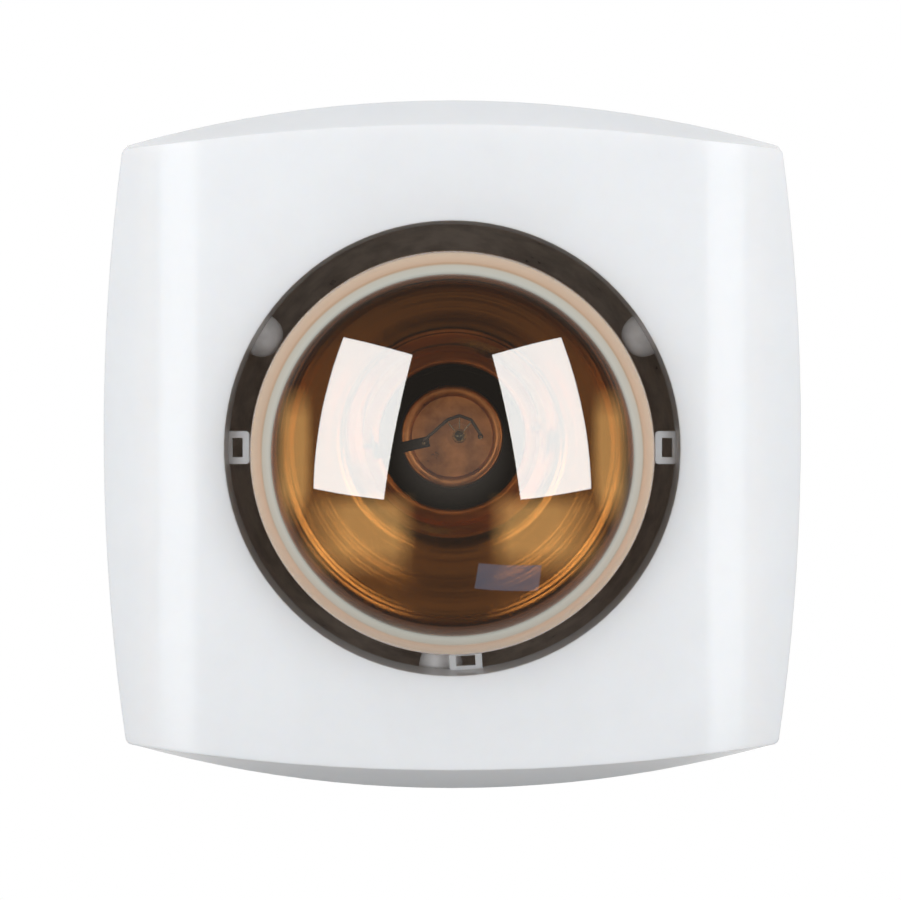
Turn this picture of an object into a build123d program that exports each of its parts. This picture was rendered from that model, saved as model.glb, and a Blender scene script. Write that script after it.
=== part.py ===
from build123d import *
import math
import os

# Bathroom heat lamp for one reflector bulb, in millimetres.
# The origin is the centre of the wall face, +Z is up, and the lamp looks along -Y.
# A reach is a distance from the wall towards the room, so y = -reach.
# The bulb, its holder and the opening share the Y axis.

# Case outline, seen from the front
front_reach = 152.0
brow_depth = 14.0
skirt_reach = 114.0
corner_x = 104.0
corner_z = 95.5
side_bulge = 7.0
top_bulge = 14.5
corner_round = 2.5
face_corner_z = 93.3
face_bulge = 8.6
flank_start = 75.5
flank_radius = 62.0
flank_turn = 60
cover_wall = 2.8

# Opening in the cover and the eyes for a guard
opening_gap = 9.3
lip_draft = 1.0
lip_depth = 10.5
lip_wall = 2.2
eye_bulb_gap = 1.8
eye_width = 10.5
eye_strip = 2.2
eye_thickness = 2.0
eye_round = 1.2
eye_angles = (0.0, 180.0, 273.6)

# Rear housing
wall_corner_x = 94.0
wall_corner_z = 85.5
wall_side_bulge = 6.0
wall_top_bulge = 12.0
housing_wall = 2.5
back_wall = 3.0
tongue_height = 10.0
tongue_wall = 2.0
tongue_gap = 0.3
shelf_depth = 7.0
vent_count = 11
vent_pitch = 10.0
vent_width = 4.5
vent_length = 60.0
vent_reach = 58.0

# Fixing to the wall
wall_hole_radius = 2.75
wall_hole_x = 65.0
wall_hole_z = 58.0

# Screws
screw_clearance = 0.05
hole_clearance = 0.4
cover_screw_radius = 1.7
cover_screw_length = 9.0
cover_screw_head = 3.4
cover_screw_head_height = 2.0
cover_screw_z = 50.0
cover_screw_setback = 5.0
cover_screw_boss = 4.5
cover_screw_recess = 1.2
small_screw_radius = 1.45
small_screw_head = 2.8
small_screw_head_height = 1.8
recess_span = 1.1
recess_width = 0.7
recess_depth = 0.9

# Polished liner behind the opening
liner_wall = 0.8
liner_mouth_gap = 0.5
liner_flange = 10.4
liner_neck_gap = 6.5
liner_holder_gap = 5.0
liner_fullness = 0.8
liner_steps = 6
liner_boss_gap = 5.4
liner_boss_radius = 3.6
liner_screw_count = 3
liner_screw_length = 7.5

# Silicone bumpers on the liner
bumper_angles = {"bumper_left": 150.0, "bumper_right": 30.0, "bumper_bottom": 267.0}
bumper_setback = 10.5
bumper_radius = 7.0
bumper_bulb_gap = 1.6
bumper_stem_radius = 2.0
bumper_barb_radius = 3.4
bumper_barb_height = 1.6

# Lamp holder and its bracket
bracket_length = 152.0
bracket_width = 26.0
bracket_thickness = 1.5
bracket_standoff = 8.5
bracket_flange = 5.0
bracket_flange_length = 112.0
bracket_screw_x = 68.0
bracket_boss_radius = 5.0
bracket_screw_length = 8.0
holder_radius = 22.0
holder_height = 37.0
holder_floor = 7.0
holder_round = 2.0
holder_screw_x = 8.0
holder_screw_bite = 5.0
shell_wall = 0.4
shell_gap = 0.15
shell_height = 22.0

# E27 thread
thread_pitch = 25.4 / 7
cap_core_radius = 12.1
cap_ridge = 1.0
thread_crest_gap = 0.35
thread_core_gap = 0.25
socket_ridge_half_width = 0.6
thread_length = 15.2
thread_root = 0.2

# Centre contact of the holder, a sprung leaf
leaf_pivot_z = 9.0
leaf_tip_z = -3.5
leaf_thickness = 0.5
leaf_width = 6.0
leaf_gap = 0.3
leaf_pocket_depth = 3.0
leaf_pocket_width = 8.0

# Terminals of the holder
holder_terminal_x = 18.2
holder_terminal_size = (4.6, 6.0, 8.5)
holder_terminal_gap = 0.25
holder_terminal_screw_head = 1.9
holder_terminal_screw_head_height = 1.4

# Bulb glass
bulb_radius = 62.6
rim_radius = 13.8
dome_radius = 132.0
rim_height = 150.0
neck_radius = 23.5
neck_top_height = 60.0
neck_bottom_height = 44.0
bowl_fullness = 1.5
bowl_steps = 5
glass_wall = 1.2
neck_end_height = 19.0
shoulder_end_height = 25.5
neck_fit_gap = 0.3

# Bulb cap
cap_end_gap = 2.0
cap_contact_radius = 4.8
cap_contact_height = 1.4
cap_rivet_radius = 1.4
cap_shell_start_height = 3.4
cap_shell_height = 21.6
cap_wall = 0.4
cap_rim_radius = 13.2
cap_rim_height = 1.4
cap_fit_gap = 0.1
insulator_height = 2.0

# Stem and what it carries
stem_radius = 5.2
stem_wall = 1.0
stem_flare_gap = 0.3
stem_top_height = 44.0
press_width = 12.0
press_thickness = 4.5
press_height = 10.0
rod_x = 2.4
rod_z = 0.4
rod_radius = 1.6
rod_top_height = 66.0
button_radius = 2.4
deflector_height = 61.0
deflector_radius = 17.4
deflector_flat = 13.6
deflector_wall = 0.5
deflector_bead = 1.6
deflector_slot_width = 3.6
deflector_slot_start = 7.9
deflector_slot_angle = 192.0
eyelet_radius = 3.9
eyelet_height = 1.0
lead_radius = 0.45
lead_bend = 1.6
filament_radius = 0.55
filament_height = 67.5
support_radius = 0.25
support_ring = 6.2
support_angles = (50.0, 90.0, 130.0)
support_wire_gap = 0.05

# Thermal cut-out on the bracket
cutout_x = -46.0
cutout_radius = 6.5
cutout_height = 7.0
cutout_ear_length = 28.0
cutout_ear_width = 8.0
cutout_ear_thickness = 1.0
cutout_screw_offset = 10.5
tab_offset = 3.5
tab_length = 7.0
tab_width = 5.0
tab_thickness = 0.8

# Terminal block
block_centre_x = 25.0
block_centre_z = -52.0
block_length = 36.0
block_height = 16.0
block_depth = 14.0
pole_pitch = 11.0
tube_radius = 2.6
tube_bore = 1.5
clamp_screw_offset = 4.2
clamp_screw_radius = 1.3
clamp_screw_head = 2.0
clamp_screw_head_height = 1.6
block_round = 1.5
block_screw_radius = 1.2
block_screw_head = 2.2

# Wires
wire_radius = 1.1
wire_bend = 5.0
wire_entry = 2.0
wire_rise = 13.0
wire_lift = 10.0

# Earth fixing on the bracket
earth_x = 46.0
earth_tag_radius = 4.2
earth_tag_thickness = 0.8
earth_barrel_width = 3.2
earth_barrel_length = 5.0
earth_barrel_height = 3.0
earth_screw_radius = 2.0
earth_screw_head = 3.6

# Cable entry and cord clamp
cable_x = -20.0
cable_z = -52.0
cable_hole_radius = 6.0
grommet_bore = 3.75
grommet_flange_radius = 9.0
grommet_flange = 1.8
grommet_gap = 0.1
clamp_x = -3.0
clamp_length = 26.0
clamp_width = 8.0
clamp_thickness = 3.5
clamp_post_radius = 3.6
clamp_post_height = 6.0
clamp_screw_offset_z = 9.0

profile_plane = Plane(origin=(0, 0, 0), x_dir=(1, 0, 0), z_dir=(0, 0, -1))
holder_reach = back_wall + bracket_standoff + bracket_thickness
bracket_rear_reach = back_wall + bracket_standoff
cavity_floor_reach = holder_reach + holder_floor
holder_top_reach = holder_reach + holder_height
outline_reach = front_reach - brow_depth
cover_screw_reach = skirt_reach + cover_screw_setback

# Reaches of the bulb's parts, from the end of its cap
cap_end_reach = cavity_floor_reach + cap_end_gap
cap_shell_start = cap_end_reach + cap_shell_start_height
neck_end_reach = cap_end_reach + neck_end_height
shoulder_end_reach = cap_end_reach + shoulder_end_height
neck_bottom_reach = cap_end_reach + neck_bottom_height
neck_top_reach = cap_end_reach + neck_top_height
rim_reach = cap_end_reach + rim_height
stem_top_reach = cap_end_reach + stem_top_height
deflector_reach = cap_end_reach + deflector_height
rod_top_reach = cap_end_reach + rod_top_height
filament_reach = cap_end_reach + filament_height
neck_end_radius = cap_core_radius - cap_wall - neck_fit_gap
socket_groove_radius = cap_core_radius + cap_ridge + thread_crest_gap
socket_ridge_radius = cap_core_radius + thread_core_gap

# Sizes that follow the bulb
opening_radius = bulb_radius + opening_gap
lip_rear_reach = front_reach - lip_depth
lip_rear_radius = opening_radius - lip_draft
eye_length = lip_rear_radius + lip_wall / 2 - bulb_radius - eye_bulb_gap
liner_mouth_radius = lip_rear_radius + lip_wall + liner_mouth_gap
liner_mouth_reach = lip_rear_reach - liner_mouth_gap
liner_boss_circle = liner_mouth_radius + liner_boss_gap
bumper_reach = lip_rear_reach - bumper_setback
liner_rear_radius = neck_radius + liner_neck_gap
liner_rear_reach = holder_top_reach + liner_holder_gap


def arc_height(along, half_chord, bulge):
    # How far a shallow arc over a chord stands out at a distance from its middle.
    radius = (half_chord**2 + bulge**2) / (2 * bulge)
    return math.sqrt(radius**2 - along**2) - (radius - bulge)


def front_plane(reach):
    return Plane.XZ.offset(reach)


def case_outline(reach, half_width, half_height, side_rise, top_rise):
    # Four shallow arcs that meet in small round corners.
    with BuildSketch(front_plane(reach)) as shape:
        with BuildLine():
            ThreePointArc((-half_width, half_height), (0, half_height + top_rise), (half_width, half_height))
            ThreePointArc((half_width, half_height), (half_width + side_rise, 0), (half_width, -half_height))
            ThreePointArc((half_width, -half_height), (0, -half_height - top_rise), (-half_width, -half_height))
            ThreePointArc((-half_width, -half_height), (-half_width - side_rise, 0), (-half_width, half_height))
        make_face()
        fillet(shape.vertices(), corner_round)
    return shape.sketch


def cover_form(inset, back_reach):
    # The whole space inside the cover's skin, drawn in from it by the inset.
    skirt = case_outline(back_reach, corner_x - inset, corner_z - inset, side_bulge, top_bulge)
    brow_base = case_outline(outline_reach, corner_x - inset, corner_z - inset, side_bulge, top_bulge)
    brow_edge = case_outline(front_reach - inset, corner_x - inset, face_corner_z - inset, side_bulge, face_bulge)
    with BuildPart() as form:
        extrude(skirt, amount=outline_reach - back_reach)
        loft([brow_base, brow_edge], ruled=True)
        with BuildSketch(Plane.XY.offset(-2 * corner_z)):
            with BuildLine():
                face_line = Line((0, inset - front_reach), (flank_start, inset - front_reach))
                flank = JernArc(face_line @ 1, (1, 0), flank_radius - inset, flank_turn)
                Polyline(flank @ 1, ((flank @ 1).X, 0), (0, 0))
                mirror(about=Plane.YZ)
            make_face()
        extrude(amount=4 * corner_z, mode=Mode.INTERSECT)
    return form.part


def make_screws(places, radius, length, head_radius, head_height):
    # Each place is a plane on the seat of the head, facing away from the thread.
    with BuildPart() as screw:
        with BuildSketch():
            Circle(head_radius)
        extrude(amount=head_height)
        chamfer(screw.edges().sort_by(Axis.Z)[-1], head_height / 4)
        with BuildSketch():
            Circle(radius)
        extrude(amount=-length)
        with BuildSketch(Plane.XY.offset(head_height)):
            Rectangle(recess_span * head_radius, recess_width)
            Rectangle(recess_width, recess_span * head_radius)
        extrude(amount=-recess_depth, mode=Mode.SUBTRACT)
    with BuildPart() as group:
        with Locations(*[place.location for place in places]):
            add(screw.part)
    return group.part


def make_wire(points, radius, bend):
    with BuildPart() as wire:
        with BuildLine() as route:
            FilletPolyline(*points, radius=bend)
        with BuildSketch(Plane(origin=route.line @ 0, z_dir=route.line % 0)):
            Circle(radius)
        sweep()
    return wire.part


def place(x, reach, z):
    return (x, -reach, z)


def front_seats(places, reach):
    # Screw seats at one reach, their heads towards the room.
    return [Plane(origin=place(x, reach, z), z_dir=(0, -1, 0)) for x, z in places]


def write(part, name):
    part.label = name
    export_step(part, f"parts/{name}.step")


os.makedirs("parts", exist_ok=True)

# Front cover
cover_screw_seat_x = corner_x + arc_height(cover_screw_z, corner_z, side_bulge) - cover_screw_recess
liner_bosses = PolarLocations(liner_boss_circle, liner_screw_count, start_angle=90)
case_cover_form = cover_form(0, skirt_reach)
cover_cavity = cover_form(cover_wall, skirt_reach - cover_wall)
with BuildPart() as front_cover:
    add(case_cover_form)
    add(cover_cavity, mode=Mode.SUBTRACT)
    with BuildSketch(profile_plane):
        with BuildLine():
            Polyline(
                (lip_rear_radius - lip_wall, lip_rear_reach),
                (lip_rear_radius + lip_wall, lip_rear_reach),
                (opening_radius + lip_wall, front_reach - cover_wall / 2),
                (opening_radius - lip_wall, front_reach - cover_wall / 2),
                close=True,
            )
        make_face()
    revolve(axis=Axis.Y)
    with BuildSketch(front_plane(liner_mouth_reach)):
        with liner_bosses:
            Circle(liner_boss_radius)
    extrude(amount=front_reach - cover_wall / 2 - liner_mouth_reach)
    with BuildSketch(front_plane(liner_mouth_reach)):
        with liner_bosses:
            Circle(small_screw_radius + screw_clearance)
    extrude(amount=liner_screw_length - liner_wall + screw_clearance, mode=Mode.SUBTRACT)
    with BuildSketch(profile_plane):
        with BuildLine():
            Polyline(
                (0, lip_rear_reach),
                (lip_rear_radius, lip_rear_reach),
                (opening_radius, front_reach),
                (0, front_reach),
                close=True,
            )
        make_face()
    revolve(axis=Axis.Y, mode=Mode.SUBTRACT)
    for angle in eye_angles:
        eye_middle = lip_rear_radius + lip_wall / 2 - eye_length / 2
        turn = math.radians(angle)
        eye_place = Location((eye_middle * math.cos(turn), eye_middle * math.sin(turn), 0), (0, 0, angle))
        with BuildSketch(front_plane(lip_rear_reach)):
            with Locations(eye_place):
                RectangleRounded(eye_length, eye_width, eye_round)
                Rectangle(eye_length - 2 * eye_strip, eye_width - 2 * eye_strip, mode=Mode.SUBTRACT)
        extrude(amount=eye_thickness)
    with BuildSketch(Plane.YZ.offset(-2 * corner_x)):
        with Locations((-cover_screw_reach, cover_screw_z), (-cover_screw_reach, -cover_screw_z)):
            Circle(cover_screw_radius + hole_clearance)
    extrude(amount=4 * corner_x, mode=Mode.SUBTRACT)
    for side in (-1, 1):
        with BuildSketch(Plane(origin=(side * cover_screw_seat_x, 0, 0), x_dir=(0, 1, 0), z_dir=(side, 0, 0))):
            with Locations((-cover_screw_reach, cover_screw_z), (-cover_screw_reach, -cover_screw_z)):
                Circle(cover_screw_head + hole_clearance)
        extrude(amount=corner_x, mode=Mode.SUBTRACT)
write(front_cover.part, "front_cover")

# Rear housing
tongue_inset = cover_wall + tongue_gap
housing_outer = (
    case_outline(0, wall_corner_x, wall_corner_z, wall_side_bulge, wall_top_bulge),
    case_outline(skirt_reach, corner_x, corner_z, side_bulge, top_bulge),
)
housing_inner = (
    case_outline(0, wall_corner_x - housing_wall, wall_corner_z - housing_wall, wall_side_bulge, wall_top_bulge),
    case_outline(skirt_reach, corner_x - housing_wall, corner_z - housing_wall, side_bulge, top_bulge),
)
tongue_outer_x = corner_x - tongue_inset
tongue_outer_z = corner_z - tongue_inset
shelf_inset = (corner_x - wall_corner_x) * shelf_depth / skirt_reach + housing_wall / 2
bracket_places = [(-bracket_screw_x, 0), (bracket_screw_x, 0)]
clamp_places = [(clamp_x, cable_z - clamp_screw_offset_z), (clamp_x, cable_z + clamp_screw_offset_z)]
block_screw_places = [
    (block_centre_x - pole_pitch / 2, block_centre_z),
    (block_centre_x + pole_pitch / 2, block_centre_z),
]
cover_screw_places = [
    Plane(origin=(side * cover_screw_seat_x, -cover_screw_reach, height), z_dir=(side, 0, 0))
    for side in (-1, 1)
    for height in (-cover_screw_z, cover_screw_z)
]
with BuildPart() as rear_housing:
    loft(housing_outer, ruled=True)
    loft(housing_inner, ruled=True, mode=Mode.SUBTRACT)
    with BuildSketch(front_plane(0)):
        add(housing_outer[0])
    extrude(amount=back_wall)
    extrude(
        case_outline(
            skirt_reach - shelf_depth, corner_x - shelf_inset, corner_z - shelf_inset, side_bulge, top_bulge
        ),
        amount=shelf_depth,
    )
    extrude(
        case_outline(skirt_reach, tongue_outer_x, tongue_outer_z, side_bulge, top_bulge),
        amount=tongue_height,
    )
    extrude(
        case_outline(
            skirt_reach - shelf_depth,
            tongue_outer_x - tongue_wall,
            tongue_outer_z - tongue_wall,
            side_bulge,
            top_bulge,
        ),
        amount=shelf_depth + tongue_height,
        mode=Mode.SUBTRACT,
    )
    for seat in cover_screw_places:
        tongue_skin = cover_screw_recess - tongue_inset - tongue_wall / 2
        with BuildSketch(seat.offset(tongue_skin)):
            Circle(cover_screw_boss)
        extrude(amount=-cover_screw_length)
    for seat in cover_screw_places:
        with BuildSketch(seat):
            Circle(cover_screw_radius + screw_clearance)
        extrude(amount=-(cover_screw_length + screw_clearance), mode=Mode.SUBTRACT)
    with BuildSketch(front_plane(back_wall)):
        with Locations(*bracket_places):
            Circle(bracket_boss_radius)
    extrude(amount=bracket_standoff)
    with BuildSketch(front_plane(back_wall)):
        with Locations(*clamp_places):
            Circle(clamp_post_radius)
    extrude(amount=clamp_post_height)
    with BuildSketch(front_plane(bracket_rear_reach)):
        with Locations(*bracket_places):
            Circle(small_screw_radius + screw_clearance)
    extrude(amount=-bracket_screw_length, mode=Mode.SUBTRACT)
    with BuildSketch(front_plane(back_wall + clamp_post_height)):
        with Locations(*clamp_places):
            Circle(small_screw_radius + screw_clearance)
    extrude(amount=-clamp_post_height, mode=Mode.SUBTRACT)
    with BuildSketch(front_plane(0)):
        with GridLocations(2 * wall_hole_x, 2 * wall_hole_z, 2, 2):
            Circle(wall_hole_radius)
        with Locations((cable_x, cable_z)):
            Circle(cable_hole_radius)
    extrude(amount=back_wall, mode=Mode.SUBTRACT)
    with BuildSketch(Plane.XY.offset(-2 * corner_z)):
        with Locations((0, -vent_reach)):
            with GridLocations(vent_pitch, 0, vent_count, 1):
                SlotOverall(vent_length, vent_width, rotation=90)
    extrude(amount=4 * corner_z, mode=Mode.SUBTRACT)
    with BuildSketch(front_plane(back_wall)):
        with Locations(*block_screw_places):
            Circle(block_screw_radius + screw_clearance)
    extrude(amount=-back_wall / 2, mode=Mode.SUBTRACT)
write(rear_housing.part, "rear_housing")

cover_screws = make_screws(
    cover_screw_places, cover_screw_radius, cover_screw_length, cover_screw_head, cover_screw_head_height
)
write(cover_screws, "cover_screws")

# Polished liner


def liner_radius(reach):
    share = (reach - liner_rear_reach) / (liner_mouth_reach - liner_rear_reach)
    swell = math.sin(math.pi / 2 * share) ** liner_fullness
    return liner_rear_radius + (liner_mouth_radius - liner_rear_radius) * swell


def liner_point(share, depth):
    # A point on the liner's inside, or that far behind it along its normal.
    height = liner_mouth_reach - liner_rear_reach
    reach = liner_rear_reach + share * height
    ahead = liner_radius(reach + liner_wall / 2) - liner_radius(reach) if share < 1 else 0
    slope = math.atan2(ahead, liner_wall / 2)
    return (liner_radius(reach) + depth * math.cos(slope), reach - depth * math.sin(slope))


liner_shares = [(step / liner_steps) ** 2 for step in range(liner_steps + 1)]
liner_inside = [liner_point(share, 0) for share in liner_shares]
liner_outside = [liner_point(share, liner_wall) for share in liner_shares]
with BuildPart() as liner:
    with BuildSketch(profile_plane):
        with BuildLine():
            Spline(*liner_inside)
            Spline(*liner_outside)
            Line(liner_inside[0], liner_outside[0])
            Line(liner_inside[-1], liner_outside[-1])
        make_face()
    revolve(axis=Axis.Y)
    with BuildSketch(front_plane(liner_mouth_reach)):
        Circle(liner_mouth_radius + liner_flange)
        Circle(liner_mouth_radius + liner_wall / 4, mode=Mode.SUBTRACT)
        with liner_bosses:
            Circle(small_screw_radius + hole_clearance, mode=Mode.SUBTRACT)
    extrude(amount=-liner_wall)
    for angle in bumper_angles.values():
        turn = math.radians(angle)
        outward = (math.cos(turn), 0, math.sin(turn))
        with BuildSketch(Plane(origin=(0, -bumper_reach, 0), z_dir=outward)):
            Circle(bumper_stem_radius + screw_clearance)
        extrude(amount=2 * opening_radius, mode=Mode.SUBTRACT)
write(liner.part, "liner")

liner_screw_places = [
    Plane(origin=place(spot.position.X, liner_mouth_reach - liner_wall, spot.position.Y), z_dir=(0, 1, 0))
    for spot in liner_bosses.locations
]
liner_screws = make_screws(
    liner_screw_places, small_screw_radius, liner_screw_length, small_screw_head, small_screw_head_height
)
write(liner_screws, "liner_screws")

# Silicone bumpers
bumper_seat = math.sqrt(liner_radius(bumper_reach - bumper_radius) ** 2 - bumper_radius**2) - screw_clearance
bumper_height = bumper_seat - bulb_radius - bumper_bulb_gap
bumper_stem_length = liner_radius(bumper_reach + bumper_radius) + liner_wall - bumper_seat + hole_clearance
with BuildPart() as bumper:
    with BuildSketch(Plane.XZ):
        with BuildLine():
            Spline((0, bumper_height), (bumper_radius, 0), tangents=[(1, 0), (0, -1)])
            Polyline(
                (bumper_radius, 0),
                (bumper_stem_radius, 0),
                (bumper_stem_radius, -bumper_stem_length),
                (bumper_barb_radius, -bumper_stem_length),
                (bumper_stem_radius, -bumper_stem_length - bumper_barb_height),
                (0, -bumper_stem_length - bumper_barb_height),
                (0, bumper_height),
            )
        make_face()
    revolve(axis=Axis.Z)
for name, angle in bumper_angles.items():
    turn = math.radians(angle)
    inward = (-math.cos(turn), 0, -math.sin(turn))
    seat = Plane(origin=place(bumper_seat * math.cos(turn), bumper_reach, bumper_seat * math.sin(turn)), z_dir=inward)
    with BuildPart() as placed_bumper:
        with Locations(seat.location):
            add(bumper.part)
    write(placed_bumper.part, name)

# Lamp holder bracket
cutout_screw_places = [(cutout_x - cutout_screw_offset, 0), (cutout_x + cutout_screw_offset, 0)]
holder_screw_places = [(-holder_screw_x, 0), (holder_screw_x, 0)]
with BuildPart() as bracket:
    with BuildSketch(front_plane(bracket_rear_reach)):
        Rectangle(bracket_length, bracket_width)
        with Locations(*bracket_places, *holder_screw_places, *cutout_screw_places):
            Circle(small_screw_radius + screw_clearance, mode=Mode.SUBTRACT)
        with Locations((earth_x, 0)):
            Circle(earth_screw_radius + screw_clearance, mode=Mode.SUBTRACT)
    extrude(amount=bracket_thickness)
    with BuildSketch(front_plane(bracket_rear_reach)):
        with GridLocations(0, bracket_width - bracket_thickness, 1, 2):
            Rectangle(bracket_flange_length, bracket_thickness)
    extrude(amount=-bracket_flange)
write(bracket.part, "holder_bracket")

bracket_screws = make_screws(
    front_seats(bracket_places, holder_reach),
    small_screw_radius,
    bracket_screw_length,
    small_screw_head,
    small_screw_head_height,
)
write(bracket_screws, "bracket_screws")

# Ceramic lamp holder
cavity_radius = socket_groove_radius + shell_wall + shell_gap
terminal_width, terminal_depth, terminal_height = holder_terminal_size
pocket_width = 2 * (holder_radius - holder_terminal_x) + terminal_width
with BuildPart() as holder_body:
    with BuildSketch(front_plane(holder_reach)):
        Circle(holder_radius)
    extrude(amount=holder_height)
    fillet(holder_body.edges().sort_by(Axis.Y)[0], holder_round)
    with BuildSketch(front_plane(cavity_floor_reach)):
        Circle(cavity_radius)
    extrude(amount=holder_height, mode=Mode.SUBTRACT)
    with BuildSketch(front_plane(cavity_floor_reach)):
        with Locations((0, (leaf_pivot_z + leaf_tip_z) / 2)):
            Rectangle(leaf_pocket_width, leaf_pivot_z - leaf_tip_z + leaf_width / 2)
    extrude(amount=-leaf_pocket_depth, mode=Mode.SUBTRACT)
    with BuildSketch(front_plane(holder_reach)):
        with Locations(*holder_screw_places):
            Circle(small_screw_radius + screw_clearance)
    extrude(amount=holder_screw_bite + screw_clearance, mode=Mode.SUBTRACT)
    for side in (-1, 1):
        outer_x = side * (holder_terminal_x - terminal_width / 2 - holder_terminal_gap + pocket_width / 2)
        with BuildSketch(front_plane(holder_reach)):
            with Locations((outer_x, (terminal_depth / 2 + holder_terminal_gap - holder_radius) / 2)):
                Rectangle(pocket_width, holder_radius + terminal_depth / 2 + holder_terminal_gap)
        extrude(amount=terminal_height + holder_terminal_gap, mode=Mode.SUBTRACT)
write(holder_body.part, "holder_body")

holder_screw_seats = [
    Plane(origin=place(x, bracket_rear_reach, z), z_dir=(0, 1, 0)) for x, z in holder_screw_places
]
holder_screws = make_screws(
    holder_screw_seats,
    small_screw_radius,
    bracket_thickness + holder_screw_bite,
    small_screw_head,
    small_screw_head_height,
)
write(holder_screws, "holder_screws")

# Threaded shell of the holder, half a pitch out of step with the bulb's cap
cap_thread_start = cap_shell_start + thread_pitch / 2 + cap_ridge
with BuildPart() as holder_shell:
    with BuildSketch(front_plane(cavity_floor_reach + leaf_pocket_depth)):
        Circle(socket_groove_radius + shell_wall)
        Circle(socket_groove_radius, mode=Mode.SUBTRACT)
    extrude(amount=shell_height)
    with BuildLine() as socket_helix:
        Helix(
            pitch=thread_pitch,
            height=thread_length - thread_pitch,
            radius=socket_groove_radius,
            center=place(0, cap_thread_start + thread_pitch / 2, 0),
            direction=(0, -1, 0),
        )
    start = socket_helix.line @ 0
    with BuildSketch(Plane(origin=start, x_dir=(start.X, 0, start.Z), z_dir=socket_helix.line % 0)):
        ridge_top = socket_ridge_radius - socket_groove_radius + socket_ridge_half_width
        with Locations((ridge_top, 0)):
            Circle(socket_ridge_half_width)
        with Locations(((ridge_top + thread_root) / 2, 0)):
            Rectangle(thread_root - ridge_top, 2 * socket_ridge_half_width)
    sweep(path=socket_helix.line, is_frenet=True)
write(holder_shell.part, "holder_shell")

# Sprung centre contact
leaf_top_reach = cap_end_reach - leaf_gap
leaf_pivot_reach = cavity_floor_reach - leaf_pocket_depth + leaf_gap + leaf_thickness
with BuildPart() as centre_contact:
    with BuildSketch(Plane.YZ.offset(-leaf_width / 2)):
        with BuildLine():
            Polyline(
                (-leaf_pivot_reach, leaf_pivot_z),
                (-leaf_top_reach, cap_contact_radius / 2),
                (-leaf_top_reach, -cap_contact_radius / 4),
                (-leaf_top_reach + leaf_thickness, leaf_tip_z),
            )
            offset(amount=leaf_thickness, side=Side.LEFT)
        make_face()
    extrude(amount=leaf_width)
write(centre_contact.part, "centre_contact")

# Terminals of the holder
with BuildPart() as holder_terminals:
    with BuildSketch(front_plane(holder_reach)):
        with GridLocations(2 * holder_terminal_x, 0, 2, 1):
            Rectangle(terminal_width, terminal_depth)
    extrude(amount=terminal_height)
    wire_hole_reach = holder_reach + terminal_height / 2
    with BuildSketch(Plane.XY.offset(-terminal_depth)):
        with Locations((-holder_terminal_x, -wire_hole_reach), (holder_terminal_x, -wire_hole_reach)):
            Circle(tube_bore)
    extrude(amount=2 * terminal_depth, mode=Mode.SUBTRACT)
    with BuildSketch(Plane.YZ.offset(-holder_radius)):
        with Locations((-wire_hole_reach, 0)):
            Circle(clamp_screw_radius + screw_clearance)
    extrude(amount=2 * holder_radius, mode=Mode.SUBTRACT)
write(holder_terminals.part, "holder_terminals")

terminal_face_x = holder_terminal_x + terminal_width / 2
holder_terminal_screws = make_screws(
    [
        Plane(origin=place(side * terminal_face_x, holder_reach + terminal_height / 2, 0), z_dir=(side, 0, 0))
        for side in (-1, 1)
    ],
    clamp_screw_radius,
    terminal_width / 2 - tube_bore,
    holder_terminal_screw_head,
    holder_terminal_screw_head_height,
)
write(holder_terminal_screws, "holder_terminal_screws")

# Bulb glass
rim_centre_radius = bulb_radius - rim_radius
dome_rise = math.sqrt((dome_radius - rim_radius) ** 2 - rim_centre_radius**2)
dome_centre_reach = rim_reach - dome_rise


def bowl_radius(share, inset):
    return neck_radius + (bulb_radius - neck_radius) * math.sin(math.pi / 2 * share) ** bowl_fullness - inset


def bulb_body(inset, end_reach):
    # The solid that the glass would fill, drawn in from its outside by the inset.
    reach_to_rim = dome_radius - inset
    meet = (
        rim_centre_radius / (dome_radius - rim_radius) * reach_to_rim,
        dome_centre_reach + dome_rise / (dome_radius - rim_radius) * reach_to_rim,
    )
    bowl_shares = [1 - step / bowl_steps for step in range(bowl_steps + 1)]
    bowl_points = [
        (bowl_radius(share, inset), neck_top_reach + share * (rim_reach - neck_top_reach)) for share in bowl_shares
    ]
    with BuildPart() as body:
        with BuildSketch(profile_plane):
            with BuildLine():
                dome = TangentArc((0, dome_centre_reach + reach_to_rim), meet, tangent=(1, 0))
                TangentArc(meet, (bulb_radius - inset, rim_reach), tangent=dome % 1)
                Spline(*bowl_points, tangents=[(0, -1), (0, -1)])
                Line((neck_radius - inset, neck_top_reach), (neck_radius - inset, neck_bottom_reach))
                Spline(
                    (neck_radius - inset, neck_bottom_reach),
                    (neck_end_radius - inset, shoulder_end_reach),
                    tangents=[(0, -1), (0, -1)],
                )
                Polyline(
                    (neck_end_radius - inset, shoulder_end_reach),
                    (neck_end_radius - inset, end_reach),
                    (0, end_reach),
                    (0, dome_centre_reach + reach_to_rim),
                )
            make_face()
        revolve(axis=Axis.Y)
    return body.part


glass_outside = bulb_body(0, neck_end_reach)
glass_inside = bulb_body(glass_wall, neck_end_reach - glass_wall)
with BuildPart() as bulb_glass:
    add(glass_outside)
    add(glass_inside, mode=Mode.SUBTRACT)
write(bulb_glass.part, "bulb_glass")

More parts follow.
